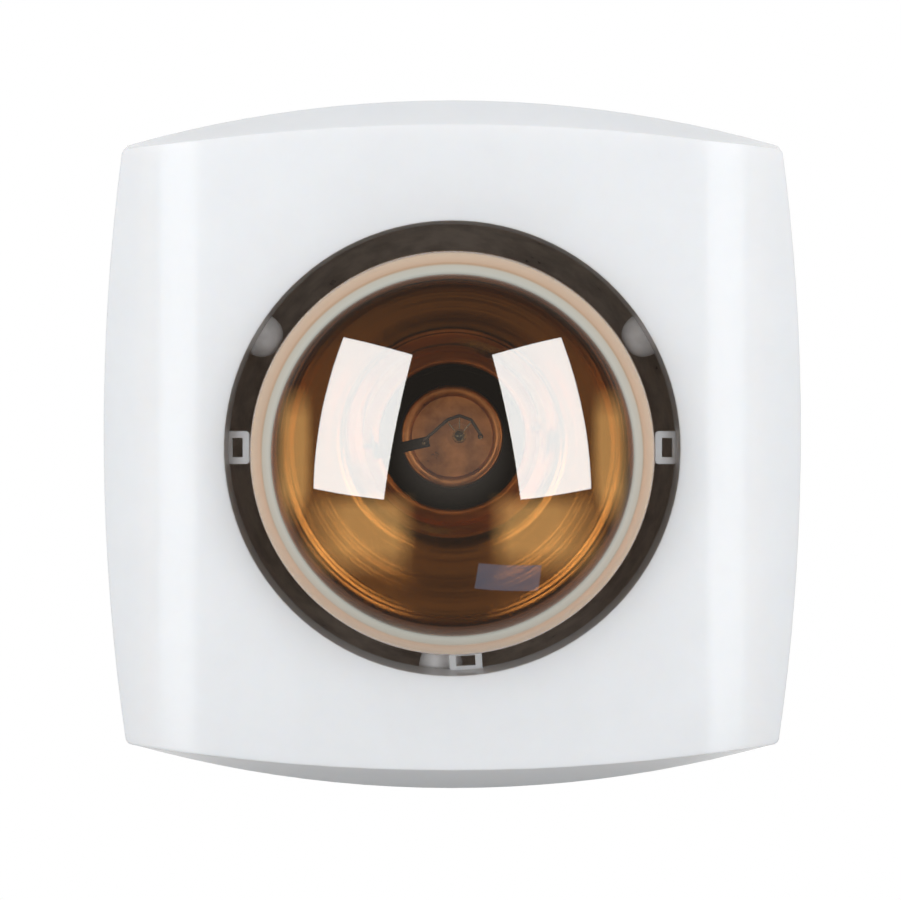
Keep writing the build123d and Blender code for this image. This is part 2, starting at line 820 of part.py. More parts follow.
# Stem of the bulb, with its press and rod
stem_flare_radius = neck_end_radius - glass_wall - stem_flare_gap
with BuildPart() as stem:
    with BuildSketch(profile_plane):
        with BuildLine():
            Polyline(
                (stem_radius - stem_wall, neck_end_reach),
                (stem_flare_radius, neck_end_reach),
                (stem_flare_radius, neck_end_reach + stem_wall),
                (stem_radius, neck_end_reach + 3 * stem_wall),
                (stem_radius, stem_top_reach),
                (0, stem_top_reach),
                (0, stem_top_reach - stem_wall),
                (stem_radius - stem_wall, stem_top_reach - stem_wall),
                close=True,
            )
        make_face()
    revolve(axis=Axis.Y)
    press_top_reach = stem_top_reach + press_height
    with BuildSketch(front_plane(stem_top_reach - stem_wall / 2)):
        RectangleRounded(press_width, press_thickness, press_thickness / 3)
    extrude(amount=press_height + stem_wall / 2)
    with BuildSketch(front_plane(press_top_reach - stem_wall)):
        with Locations((rod_x, rod_z)):
            Circle(rod_radius)
    extrude(amount=rod_top_reach - press_top_reach + stem_wall)
    with Locations(place(rod_x, rod_top_reach, rod_z)):
        Sphere(button_radius)
write(stem.part, "glass_stem")

# Heat deflector
with BuildPart() as deflector:
    with BuildSketch(profile_plane):
        with BuildLine():
            bead_middle = (deflector_flat + deflector_radius) / 2
            Line((0, deflector_reach), (deflector_flat, deflector_reach))
            ThreePointArc(
                (deflector_flat, deflector_reach),
                (bead_middle, deflector_reach + deflector_bead),
                (deflector_radius, deflector_reach),
            )
            Line((deflector_radius, deflector_reach), (deflector_radius - deflector_wall, deflector_reach))
            ThreePointArc(
                (deflector_radius - deflector_wall, deflector_reach),
                (bead_middle, deflector_reach + deflector_bead - deflector_wall),
                (deflector_flat + deflector_wall, deflector_reach),
            )
            Polyline(
                (deflector_flat + deflector_wall, deflector_reach),
                (deflector_flat, deflector_reach - deflector_wall),
                (0, deflector_reach - deflector_wall),
                (0, deflector_reach),
            )
        make_face()
    revolve(axis=Axis.Y)
    with BuildSketch(front_plane(deflector_reach)):
        with Locations((rod_x, rod_z)):
            Circle(eyelet_radius)
    extrude(amount=eyelet_height)
    with BuildSketch(front_plane(deflector_reach - deflector_bead)):
        with Locations((rod_x, rod_z)):
            Circle(rod_radius + screw_clearance)
        slot_turn = math.radians(deflector_slot_angle)
        slot_length = 2 * (deflector_radius - deflector_slot_start)
        slot_middle = deflector_slot_start + slot_length / 2
        slot_place = Location(
            (slot_middle * math.cos(slot_turn), slot_middle * math.sin(slot_turn), 0), (0, 0, deflector_slot_angle)
        )
        with Locations(slot_place):
            Rectangle(slot_length, deflector_slot_width)
        lead_hole_x = deflector_slot_start + lead_bend
        with Locations((lead_hole_x, 0)):
            Circle(2 * lead_radius)
    extrude(amount=3 * deflector_bead, mode=Mode.SUBTRACT)
write(deflector.part, "heat_deflector")

# Lead wires, filament and its supports
left_lead_x = -(deflector_slot_start + lead_bend)
left_lead_z = left_lead_x * math.tan(slot_turn)
lead_turn_reach = (press_top_reach + deflector_reach) / 2
filament_left = (left_lead_x, left_lead_z + button_radius)
filament_right = (lead_hole_x, button_radius / 2)
with BuildPart() as lead_wires:
    add(
        make_wire(
            [
                place(-press_width / 3, press_top_reach, 0),
                place(-press_width / 3, lead_turn_reach, 0),
                place(left_lead_x, deflector_reach - deflector_bead, left_lead_z),
                place(left_lead_x, filament_reach + lead_radius, left_lead_z),
            ],
            lead_radius,
            lead_bend,
        )
    )
    add(
        make_wire(
            [
                place(press_width / 2 - lead_radius * 2, press_top_reach, 0),
                place(press_width / 2 - lead_radius * 2, lead_turn_reach, 0),
                place(lead_hole_x, deflector_reach - deflector_bead, 0),
                place(lead_hole_x, filament_reach + lead_radius, 0),
            ],
            lead_radius,
            lead_bend,
        )
    )
write(lead_wires.part, "lead_wires")

support_ends = []
for angle in support_angles:
    turn = math.radians(angle)
    support_ends.append((rod_x + support_ring * math.cos(turn), rod_z + support_ring * math.sin(turn)))
filament_points = [
    place(left_lead_x, filament_reach, left_lead_z + lead_radius + filament_radius),
    *[place(x, filament_reach, z + filament_radius + support_radius) for x, z in reversed(support_ends)],
    place(lead_hole_x, filament_reach, lead_radius + filament_radius),
]
filament = make_wire(filament_points, filament_radius, lead_bend)
write(filament, "filament")

with BuildPart() as filament_supports:
    for angle in support_angles:
        turn = math.radians(angle)
        outward = (math.cos(turn), 0, math.sin(turn))
        root_distance = button_radius + support_wire_gap
        root = place(
            rod_x + root_distance * math.cos(turn), rod_top_reach, rod_z + root_distance * math.sin(turn)
        )
        with BuildSketch(Plane(origin=root, z_dir=outward)):
            Circle(support_radius)
        extrude(amount=support_ring - root_distance - support_wire_gap)
write(filament_supports.part, "filament_supports")

# Bulb cap
cap_top_reach = cap_shell_start + cap_shell_height
with BuildPart() as bulb_cap:
    with BuildSketch(profile_plane):
        with BuildLine():
            Polyline(
                (cap_core_radius - cap_wall, cap_shell_start),
                (cap_core_radius, cap_shell_start),
                (cap_core_radius, cap_top_reach - cap_rim_height),
                (cap_rim_radius, cap_top_reach - cap_wall),
                (cap_rim_radius, cap_top_reach),
                (cap_core_radius - cap_wall, cap_top_reach),
                close=True,
            )
        make_face()
    revolve(axis=Axis.Y)
    with BuildLine() as cap_helix:
        Helix(
            pitch=thread_pitch,
            height=thread_length,
            radius=cap_core_radius,
            center=place(0, cap_thread_start, 0),
            direction=(0, -1, 0),
        )
    start = cap_helix.line @ 0
    with BuildSketch(Plane(origin=start, x_dir=(start.X, 0, start.Z), z_dir=cap_helix.line % 0)):
        Circle(cap_ridge)
        with Locations((-thread_root - cap_ridge, 0)):
            Rectangle(2 * cap_ridge, 2 * cap_ridge, mode=Mode.SUBTRACT)
    sweep(path=cap_helix.line, is_frenet=True)
write(bulb_cap.part, "bulb_cap")

insulator_radius = cap_core_radius - cap_wall - cap_fit_gap
insulator_base_reach = cap_end_reach + cap_contact_height
with BuildPart() as cap_insulator:
    with BuildSketch(profile_plane):
        with BuildLine():
            Polyline(
                (cap_rivet_radius + cap_fit_gap, insulator_base_reach),
                (cap_contact_radius + cap_fit_gap, insulator_base_reach),
                (insulator_radius, cap_shell_start),
                (insulator_radius, cap_shell_start + insulator_height),
                (cap_rivet_radius + cap_fit_gap, cap_shell_start + insulator_height),
                close=True,
            )
        make_face()
    revolve(axis=Axis.Y)
write(cap_insulator.part, "cap_insulator")

with BuildPart() as cap_contact:
    with BuildSketch(front_plane(cap_end_reach)):
        Circle(cap_contact_radius)
    extrude(amount=cap_contact_height - screw_clearance)
    fillet(cap_contact.edges().sort_by(Axis.Y)[-1], cap_contact_height / 2)
    with BuildSketch(front_plane(cap_end_reach + cap_contact_height / 2)):
        Circle(cap_rivet_radius)
    extrude(amount=cap_shell_start + 2 * insulator_height - cap_end_reach)
write(cap_contact.part, "cap_contact")

# Thermal cut-out, seated on the bracket
cutout_top_reach = holder_reach + cutout_height
tab_places = [(cutout_x - tab_offset, 0), (cutout_x + tab_offset, 0)]
with BuildPart() as cutout:
    with BuildSketch(front_plane(holder_reach)):
        with Locations((cutout_x, 0)):
            SlotOverall(cutout_ear_length, cutout_ear_width)
        with Locations(*cutout_screw_places):
            Circle(small_screw_radius + screw_clearance, mode=Mode.SUBTRACT)
    extrude(amount=cutout_ear_thickness)
    with BuildSketch(front_plane(holder_reach)):
        with Locations((cutout_x, 0)):
            Circle(cutout_radius)
    extrude(amount=cutout_height)
write(cutout.part, "thermal_cutout")

with BuildPart() as cutout_tabs:
    with BuildSketch(front_plane(cutout_top_reach)):
        with Locations(*tab_places):
            Rectangle(tab_thickness, tab_width)
    extrude(amount=tab_length)
write(cutout_tabs.part, "cutout_tabs")

cutout_screws = make_screws(
    front_seats(cutout_screw_places, holder_reach + cutout_ear_thickness),
    small_screw_radius,
    cutout_ear_thickness + bracket_thickness,
    small_screw_head,
    small_screw_head_height,
)
write(cutout_screws, "cutout_screws")

# Terminal block
tube_reach = back_wall + block_depth / 2
pole_x = [block_centre_x + pole_pitch * step for step in (-1, 0, 1)]
clamp_screw_z = [block_centre_z - clamp_screw_offset, block_centre_z + clamp_screw_offset]
clamp_screw_places = [(x, z) for x in pole_x for z in clamp_screw_z]
block_tubes_plane = Plane.XY.offset(block_centre_z - block_height / 2)
with BuildPart() as terminal_block:
    with BuildSketch(front_plane(back_wall)):
        with Locations((block_centre_x, block_centre_z)):
            RectangleRounded(block_length, block_height, block_round)
        with Locations(*block_screw_places):
            Circle(block_screw_radius + screw_clearance, mode=Mode.SUBTRACT)
    extrude(amount=block_depth)
    with BuildSketch(block_tubes_plane):
        with Locations(*[(x, -tube_reach) for x in pole_x]):
            Circle(tube_radius + screw_clearance)
    extrude(amount=block_height, mode=Mode.SUBTRACT)
    with BuildSketch(front_plane(tube_reach)):
        with Locations(*clamp_screw_places):
            Circle(clamp_screw_head + hole_clearance)
    extrude(amount=block_depth, mode=Mode.SUBTRACT)
write(terminal_block.part, "terminal_block")

with BuildPart() as terminal_tubes:
    with BuildSketch(block_tubes_plane):
        with Locations(*[(x, -tube_reach) for x in pole_x]):
            Circle(tube_radius)
            Circle(tube_bore, mode=Mode.SUBTRACT)
    extrude(amount=block_height)
    with BuildSketch(front_plane(tube_reach)):
        with Locations(*clamp_screw_places):
            Circle(clamp_screw_radius + screw_clearance)
    extrude(amount=block_depth, mode=Mode.SUBTRACT)
write(terminal_tubes.part, "terminal_tubes")

terminal_screws = make_screws(
    front_seats(clamp_screw_places, tube_reach + tube_radius + screw_clearance),
    clamp_screw_radius,
    tube_radius - tube_bore,
    clamp_screw_head,
    clamp_screw_head_height,
)
write(terminal_screws, "terminal_screws")

block_screws = make_screws(
    front_seats(block_screw_places, back_wall + block_depth),
    block_screw_radius,
    block_depth + back_wall / 2 - screw_clearance,
    block_screw_head,
    small_screw_head_height,
)
write(block_screws, "terminal_block_screws")

# Earth fixing on the bracket
barrel_end_z = -(earth_tag_radius + earth_barrel_length)
earth_wire_reach = holder_reach + earth_barrel_height / 2
with BuildPart() as earth_tag:
    with BuildSketch(front_plane(holder_reach)):
        with Locations((earth_x, 0)):
            Circle(earth_tag_radius)
        with Locations((earth_x, barrel_end_z / 2)):
            Rectangle(earth_barrel_width, -barrel_end_z)
        with Locations((earth_x, 0)):
            Circle(earth_screw_radius + screw_clearance, mode=Mode.SUBTRACT)
    extrude(amount=earth_tag_thickness)
    with BuildSketch(front_plane(holder_reach)):
        with Locations((earth_x, barrel_end_z + earth_barrel_length / 2)):
            Rectangle(earth_barrel_width, earth_barrel_length)
    extrude(amount=earth_barrel_height)
    with BuildSketch(Plane.XY.offset(barrel_end_z)):
        with Locations((earth_x, -earth_wire_reach)):
            Circle(wire_radius + screw_clearance)
    extrude(amount=wire_entry, mode=Mode.SUBTRACT)
write(earth_tag.part, "earth_tag")

earth_screw = make_screws(
    front_seats([(earth_x, 0)], holder_reach + earth_tag_thickness),
    earth_screw_radius,
    earth_tag_thickness + bracket_thickness + small_screw_head_height,
    earth_screw_head,
    small_screw_head_height,
)
write(earth_screw, "earth_screw")

# Wires, each straight out of its terminal and round soft bends
block_top_z = block_centre_z + block_height / 2
turn_z = block_top_z + wire_rise
tab_end_reach = cutout_top_reach + tab_length
over_reach = tab_end_reach + wire_lift
holder_wire_z = -(holder_radius + wire_lift / 2)
terminal_wire_reach = holder_reach + terminal_height / 2
terminal_wire_end = wire_entry - terminal_depth / 2
live_x, neutral_x, earth_wire_x = pole_x
live_tab_x, switched_tab_x = (x for x, z in tab_places)
live_wire = make_wire(
    [
        place(live_x, tube_reach, block_top_z - wire_entry),
        place(live_x, tube_reach, turn_z),
        place(live_tab_x, tube_reach, turn_z),
        place(live_tab_x, over_reach, turn_z + wire_lift / 2),
        place(live_tab_x, over_reach, 0),
        place(live_tab_x, tab_end_reach, 0),
    ],
    wire_radius,
    wire_bend,
)
write(live_wire, "live_wire")
switched_wire = make_wire(
    [
        place(switched_tab_x, tab_end_reach, 0),
        place(switched_tab_x, over_reach, 0),
        place(switched_tab_x, over_reach, holder_wire_z / 2),
        place(-holder_terminal_x, terminal_wire_reach, holder_wire_z),
        place(-holder_terminal_x, terminal_wire_reach, terminal_wire_end),
    ],
    wire_radius,
    wire_bend,
)
write(switched_wire, "switched_wire")
neutral_wire = make_wire(
    [
        place(neutral_x, tube_reach, block_top_z - wire_entry),
        place(neutral_x, tube_reach, turn_z),
        place(holder_terminal_x, terminal_wire_reach, holder_wire_z),
        place(holder_terminal_x, terminal_wire_reach, terminal_wire_end),
    ],
    wire_radius,
    wire_bend / 2,
)
write(neutral_wire, "neutral_wire")
earth_wire = make_wire(
    [
        place(earth_wire_x, tube_reach, block_top_z - wire_entry),
        place(earth_wire_x, tube_reach, turn_z),
        place(earth_x, earth_wire_reach, holder_wire_z),
        place(earth_x, earth_wire_reach, barrel_end_z + wire_entry - screw_clearance),
    ],
    wire_radius,
    wire_bend / 2,
)
write(earth_wire, "earth_wire")

# Cable entry and cord clamp
with BuildPart() as grommet:
    with BuildSketch(front_plane(0)):
        with Locations((cable_x, cable_z)):
            Circle(cable_hole_radius - grommet_gap)
    extrude(amount=back_wall)
    with BuildSketch(front_plane(back_wall)):
        with Locations((cable_x, cable_z)):
            Circle(grommet_flange_radius)
    extrude(amount=grommet_flange)
    fillet(grommet.edges().sort_by(Axis.Y)[0], grommet_flange / 3)
    with BuildSketch(front_plane(0)):
        with Locations((cable_x, cable_z)):
            Circle(grommet_bore)
    extrude(amount=back_wall + grommet_flange, mode=Mode.SUBTRACT)
write(grommet.part, "cable_grommet")

clamp_reach = back_wall + clamp_post_height
with BuildPart() as cord_clamp:
    with BuildSketch(front_plane(clamp_reach)):
        with Locations((clamp_x, cable_z)):
            RectangleRounded(clamp_width, clamp_length, clamp_width / 4)
        with Locations(*clamp_places):
            Circle(small_screw_radius + screw_clearance, mode=Mode.SUBTRACT)
    extrude(amount=clamp_thickness)
write(cord_clamp.part, "cord_clamp")

clamp_screws = make_screws(
    front_seats(clamp_places, clamp_reach + clamp_thickness),
    small_screw_radius,
    clamp_thickness + clamp_post_height - screw_clearance,
    small_screw_head,
    small_screw_head_height,
)
write(clamp_screws, "cord_clamp_screws")
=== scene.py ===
import bmesh
import bpy
import math
from mathutils import Matrix, Vector


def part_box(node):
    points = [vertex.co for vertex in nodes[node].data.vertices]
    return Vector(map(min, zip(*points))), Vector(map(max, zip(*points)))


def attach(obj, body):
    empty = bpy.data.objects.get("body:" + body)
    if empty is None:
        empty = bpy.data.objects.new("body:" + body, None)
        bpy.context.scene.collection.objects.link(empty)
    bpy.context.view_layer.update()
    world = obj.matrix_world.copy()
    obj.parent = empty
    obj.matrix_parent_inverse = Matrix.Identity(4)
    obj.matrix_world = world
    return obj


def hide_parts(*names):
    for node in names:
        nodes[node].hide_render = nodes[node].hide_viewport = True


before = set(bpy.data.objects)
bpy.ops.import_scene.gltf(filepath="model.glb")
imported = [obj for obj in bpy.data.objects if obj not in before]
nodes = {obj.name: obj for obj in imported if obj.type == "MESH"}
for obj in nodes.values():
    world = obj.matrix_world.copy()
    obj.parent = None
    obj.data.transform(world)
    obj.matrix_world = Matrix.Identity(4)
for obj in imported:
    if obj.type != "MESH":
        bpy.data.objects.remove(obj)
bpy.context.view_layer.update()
scene = bpy.context.scene
mm = 0.001
print("frame loaded:", len(nodes), "solids")

# The bulb's widest radius and how far the case reaches from the wall, read from the solids
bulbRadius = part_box("bulb_glass")[1].x
frontReach = -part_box("front_cover")[0].y


# Helpers

def linear(hexColour):
    # sRGB hex to the linear colour that shaders take
    parts = [int(hexColour[start:start + 2], 16) / 255 for start in (1, 3, 5)]
    return tuple(part / 12.92 if part <= 0.04045 else ((part + 0.055) / 1.055) ** 2.4
                 for part in parts) + (1.0,)


def addNode(tree, kind, settings=None, links=None):
    # Settings are inputs by name or number, the node's own properties, or a colour ramp's stops
    node = tree.nodes.new(kind)
    for key, value in (settings or {}).items():
        if key == "stops":
            points = node.color_ramp.elements
            while len(points) < len(value):
                points.new(0.5)
            for point, (position, colour) in zip(points, value):
                point.position = position
                point.color = linear(colour) if isinstance(colour, str) else (colour, colour, colour, 1.0)
        elif isinstance(key, int) or key in node.inputs:
            node.inputs[key].default_value = value
        else:
            setattr(node, key, value)
    for key, source in (links or {}).items():
        tree.links.new(source, node.inputs[key])
    return node


def shade(colour, factor):
    # The same sRGB colour, darker or paler by a factor
    parts = [min(255, round(int(colour[start:start + 2], 16) * factor)) for start in (1, 3, 5)]
    return "#" + "".join(f"{part:02X}" for part in parts)


def startMaterial(name):
    material = bpy.data.materials.new(name)
    material.use_nodes = True
    tree = material.node_tree
    tree.nodes.clear()
    return material, tree


def meshPiece(name, shape, materials, body, replaced):
    bmesh.ops.recalc_face_normals(shape, faces=shape.faces)
    mesh = bpy.data.meshes.new(name)
    shape.to_mesh(mesh)
    shape.free()
    for polygon in mesh.polygons:
        polygon.use_smooth = True
    piece = bpy.data.objects.new(name, mesh)
    scene.collection.objects.link(piece)
    for material in materials:
        mesh.materials.append(material)
    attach(piece, body)
    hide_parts(replaced)


mergeDistance = 0.02 * mm


def spinProfile(points, axis, steps):
    # A line of points turned once about an axis through the origin, its seam and poles closed
    shape = bmesh.new()
    chain = [shape.verts.new(point) for point in points]
    edges = [shape.edges.new(pair) for pair in zip(chain, chain[1:])]
    bmesh.ops.spin(shape, geom=chain + edges, cent=(0, 0, 0), axis=axis, angle=2 * math.pi,
                   steps=steps, use_merge=True)
    bmesh.ops.remove_doubles(shape, verts=shape.verts, dist=mergeDistance)
    return shape


def aboutAxis(tree, place):
    # How far a point is from the bulb's axis, and where along it
    apart = addNode(tree, "ShaderNodeSeparateXYZ", {}, {0: place.outputs["Object"]})
    across = addNode(tree, "ShaderNodeCombineXYZ", {}, {0: apart.outputs[0], 1: apart.outputs[2]})
    away = addNode(tree, "ShaderNodeVectorMath", {"operation": "LENGTH"}, {0: across.outputs[0]})
    return away.outputs["Value"], apart.outputs[1]


# Materials

def mouldedPlastic(name, colour, roughness, waveMm, waveHeightMm, edgeMm=0.6, shine=0.5, bleed=0.0):
    # Injection-moulded plastic: an even colour, the faint waviness of the tool, softened edges,
    # and in a pale moulding a little light that bleeds warm through the thin walls
    material, tree = startMaterial(name)
    place = addNode(tree, "ShaderNodeTexCoord")
    waves = addNode(tree, "ShaderNodeTexNoise", {"Scale": 1 / (waveMm * mm), "Detail": 2.0},
                    {"Vector": place.outputs["Object"]})
    dust = addNode(tree, "ShaderNodeTexNoise", {"Scale": 1 / (35 * mm), "Detail": 5.0, "Roughness": 0.65},
                   {"Vector": place.outputs["Object"]})
    tone = addNode(tree, "ShaderNodeValToRGB", {"stops": [(0.3, shade(colour, 0.985)), (0.7, colour)]},
                   {"Fac": dust.outputs["Fac"]})
    sheen = addNode(tree, "ShaderNodeMapRange", {1: 0.3, 2: 0.7, 3: roughness * 0.85, 4: roughness * 1.2},
                    {0: dust.outputs["Fac"]})
    soft = addNode(tree, "ShaderNodeBevel", {"samples": 4, "Radius": edgeMm * mm})
    bump = addNode(tree, "ShaderNodeBump", {"Strength": 0.5, "Distance": waveHeightMm * mm},
                   {"Height": waves.outputs["Fac"], "Normal": soft.outputs["Normal"]})
    shader = addNode(tree, "ShaderNodeBsdfPrincipled",
                     {"IOR": 1.5, "Specular IOR Level": shine, "Subsurface Weight": bleed,
                      "Subsurface Scale": 6 * mm, "Subsurface Radius": (1.0, 0.8, 0.66)},
                     {"Base Color": tone.outputs["Color"], "Roughness": sheen.outputs[0],
                      "Normal": bump.outputs["Normal"]})
    addNode(tree, "ShaderNodeOutputMaterial", {}, {"Surface": shader.outputs[0]})
    return material


def workedMetal(name, colour, darkColour, roughness, grainMm, ringsMm=0.0, bumpMm=0.004, metallic=1.0):
    # Plated, turned or stamped metal: cloudy tone, fine grain, and turning rings where it was spun
    material, tree = startMaterial(name)
    place = addNode(tree, "ShaderNodeTexCoord")
    cloud = addNode(tree, "ShaderNodeTexNoise", {"Scale": 1 / (9 * mm), "Detail": 6.0, "Roughness": 0.6},
                    {"Vector": place.outputs["Object"]})
    tone = addNode(tree, "ShaderNodeValToRGB", {"stops": [(0.28, darkColour), (0.62, colour)]},
                   {"Fac": cloud.outputs["Fac"]})
    grain = addNode(tree, "ShaderNodeTexNoise", {"Scale": 1 / (grainMm * mm), "Detail": 3.0},
                    {"Vector": place.outputs["Object"]})
    height = grain.outputs["Fac"]
    if ringsMm:
        away, along = aboutAxis(tree, place)
        rings = addNode(tree, "ShaderNodeCombineXYZ", {}, {0: away, 1: along})
        lines = addNode(tree, "ShaderNodeTexNoise", {"Scale": 1 / (ringsMm * mm), "Detail": 4.0},
                        {"Vector": rings.outputs[0]})
        height = lines.outputs["Fac"]
    rough = addNode(tree, "ShaderNodeMapRange", {1: 0.3, 2: 0.7, 3: roughness * 0.75, 4: roughness * 1.35},
                    {0: cloud.outputs["Fac"]})
    soft = addNode(tree, "ShaderNodeBevel", {"samples": 4, "Radius": 0.15 * mm})
    bump = addNode(tree, "ShaderNodeBump", {"Strength": 0.6, "Distance": bumpMm * mm},
                   {"Height": height, "Normal": soft.outputs["Normal"]})
    shader = addNode(tree, "ShaderNodeBsdfPrincipled", {"Metallic": metallic},
                     {"Base Color": tone.outputs["Color"], "Roughness": rough.outputs[0],
                      "Normal": bump.outputs["Normal"]})
    addNode(tree, "ShaderNodeOutputMaterial", {}, {"Surface": shader.outputs[0]})
    return material


def glazedCeramic(name, colour):
    # Steatite, pressed and fired: warm white, tiny dark specks, a soft glaze
    material, tree = startMaterial(name)
    place = addNode(tree, "ShaderNodeTexCoord")
    specks = addNode(tree, "ShaderNodeTexVoronoi", {"Scale": 1 / (1.6 * mm)},
                     {"Vector": place.outputs["Object"]})
    stops = [(0.0, "#9A8F7E"), (0.09, colour), (1.0, shade(colour, 0.97))]
    tone = addNode(tree, "ShaderNodeValToRGB", {"stops": stops}, {"Fac": specks.outputs["Distance"]})
    pits = addNode(tree, "ShaderNodeTexNoise", {"Scale": 1 / (0.8 * mm), "Detail": 3.0},
                   {"Vector": place.outputs["Object"]})
    soft = addNode(tree, "ShaderNodeBevel", {"samples": 4, "Radius": 0.5 * mm})
    bump = addNode(tree, "ShaderNodeBump", {"Strength": 0.4, "Distance": 0.02 * mm},
                   {"Height": pits.outputs["Fac"], "Normal": soft.outputs["Normal"]})
    shader = addNode(tree, "ShaderNodeBsdfPrincipled", {"Roughness": 0.3, "IOR": 1.6, "Coat Weight": 0.3},
                     {"Base Color": tone.outputs["Color"], "Normal": bump.outputs["Normal"]})
    addNode(tree, "ShaderNodeOutputMaterial", {}, {"Surface": shader.outputs[0]})
    return material


def milkySilicone(name, colour):
    # Cast silicone rubber: cloudy, lets light in, soft broad shine
    material, tree = startMaterial(name)
    place = addNode(tree, "ShaderNodeTexCoord")
    cloud = addNode(tree, "ShaderNodeTexNoise", {"Scale": 1 / (4 * mm), "Detail": 4.0},
                    {"Vector": place.outputs["Object"]})
    tone = addNode(tree, "ShaderNodeValToRGB", {"stops": [(0.3, shade(colour, 0.93)), (0.7, colour)]},
                   {"Fac": cloud.outputs["Fac"]})
    bump = addNode(tree, "ShaderNodeBump", {"Strength": 0.4, "Distance": 0.05 * mm},
                   {"Height": cloud.outputs["Fac"]})
    shader = addNode(tree, "ShaderNodeBsdfPrincipled",
                     {"Roughness": 0.38, "IOR": 1.41, "Subsurface Weight": 0.25, "Subsurface Scale": 3 * mm,
                      "Subsurface Radius": (1.0, 0.9, 0.8)},
                     {"Base Color": tone.outputs["Color"], "Normal": bump.outputs["Normal"]})
    addNode(tree, "ShaderNodeOutputMaterial", {}, {"Surface": shader.outputs[0]})
    return material


def insulation(name, colour, stripe=None):
    # Extruded silicone insulation: slightly powdery, and a second colour in bands on the earth wire
    material, tree = startMaterial(name)
    place = addNode(tree, "ShaderNodeTexCoord")
    powder = addNode(tree, "ShaderNodeTexNoise", {"Scale": 1 / (0.6 * mm), "Detail": 4.0},
                     {"Vector": place.outputs["Object"]})
    tone = addNode(tree, "ShaderNodeValToRGB", {"stops": [(0.3, shade(colour, 0.85)), (0.7, colour)]},
                   {"Fac": powder.outputs["Fac"]})
    result = tone.outputs["Color"]
    if stripe:
        apart = addNode(tree, "ShaderNodeSeparateXYZ", {}, {0: place.outputs["Object"]})
        band = addNode(tree, "ShaderNodeMath", {"operation": "PINGPONG", 1: 1.1 * mm}, {0: apart.outputs[0]})
        half = addNode(tree, "ShaderNodeMath", {"operation": "GREATER_THAN", 1: 0.55 * mm},
                       {0: band.outputs[0]})
        mix = addNode(tree, "ShaderNodeMix", {"data_type": "RGBA", 7: linear(stripe)},
                      {0: half.outputs[0], 6: result})
        result = mix.outputs[2]
    bump = addNode(tree, "ShaderNodeBump", {"Strength": 0.3, "Distance": 0.02 * mm},
                   {"Height": powder.outputs["Fac"]})
    shader = addNode(tree, "ShaderNodeBsdfPrincipled", {"Roughness": 0.5, "IOR": 1.42},
                     {"Base Color": result, "Normal": bump.outputs["Normal"]})
    addNode(tree, "ShaderNodeOutputMaterial", {}, {"Surface": shader.outputs[0]})
    return material


def blownGlass(name, tint, filmLow, filmHigh, filmColour, rimRingsAndHighlight=None):
    # Thin blown glass: tinted and clear, under a film that mirrors more at a glance; rimRingsAndHighlight
    # paints a pale ring round the bulb's rim that stands for its highlight, a cream ring outside it and
    # darker brown at the edge
    material, tree = startMaterial(name)
    place = addNode(tree, "ShaderNodeTexCoord")
    drawn = addNode(tree, "ShaderNodeTexNoise", {"Scale": 1 / (28 * mm), "Detail": 2.0},
                    {"Vector": place.outputs["Object"]})
    bump = addNode(tree, "ShaderNodeBump", {"Strength": 0.25, "Distance": 0.05 * mm},
                   {"Height": drawn.outputs["Fac"]})
    glance = addNode(tree, "ShaderNodeLayerWeight", {"Blend": 0.35}, {"Normal": bump.outputs["Normal"]})
    film = addNode(tree, "ShaderNodeMapRange", {1: 0.0, 2: 1.0, 3: filmLow, 4: filmHigh},
                   {0: glance.outputs["Fresnel"]})
    through = addNode(tree, "ShaderNodeBsdfTransparent", {"Color": linear(tint)})
    mirror = addNode(tree, "ShaderNodeBsdfGlossy", {"Color": linear(filmColour), "Roughness": 0.015},
                     {"Normal": bump.outputs["Normal"]})
    glass = addNode(tree, "ShaderNodeMixShader", {},
                    {0: film.outputs[0], 1: through.outputs[0], 2: mirror.outputs[0]})
    result = glass.outputs[0]
    if rimRingsAndHighlight:
        away = aboutAxis(tree, place)[0]
        along = addNode(tree, "ShaderNodeMapRange", {1: rimRingsAndHighlight["from"] * mm, 2: rimRingsAndHighlight["to"] * mm},
                        {0: away})
        amount = addNode(tree, "ShaderNodeValToRGB", {"stops": rimRingsAndHighlight["amount"]}, {"Fac": along.outputs[0]})
        tone = addNode(tree, "ShaderNodeValToRGB", {"stops": rimRingsAndHighlight["tone"]}, {"Fac": along.outputs[0]})
        # The pale ring painted here stands for the highlight on the rim's thick glass
        rimRingPaint = addNode(tree, "ShaderNodeBsdfPrincipled", {"Roughness": 0.25, "IOR": 1.5},
                       {"Base Color": tone.outputs["Color"]})
        mixed = addNode(tree, "ShaderNodeMixShader", {},
                        {0: amount.outputs["Color"], 1: result, 2: rimRingPaint.outputs[0]})
        result = mixed.outputs[0]
    addNode(tree, "ShaderNodeOutputMaterial", {}, {"Surface": result})
    return material


def goldMirror(name, colour, darkColour, roughness):
    # Metal evaporated on blown glass: a slightly soft mirror, rippled as the glass under it is
    material, tree = startMaterial(name)
    place = addNode(tree, "ShaderNodeTexCoord")
    away, along = aboutAxis(tree, place)
    rings = addNode(tree, "ShaderNodeCombineXYZ", {}, {0: away, 1: along})
    ripple = addNode(tree, "ShaderNodeTexNoise", {"Scale": 1 / (7 * mm), "Detail": 2.0},
                     {"Vector": rings.outputs[0]})
    tone = addNode(tree, "ShaderNodeValToRGB", {"stops": [(0.3, darkColour), (0.65, colour)]},
                   {"Fac": ripple.outputs["Fac"]})
    bump = addNode(tree, "ShaderNodeBump", {"Strength": 0.5, "Distance": 0.3 * mm},
                   {"Height": ripple.outputs["Fac"]})
    shader = addNode(tree, "ShaderNodeBsdfPrincipled", {"Metallic": 1.0, "Roughness": roughness},
                     {"Base Color": tone.outputs["Color"], "Normal": bump.outputs["Normal"]})
    addNode(tree, "ShaderNodeOutputMaterial", {}, {"Surface": shader.outputs[0]})
    return material


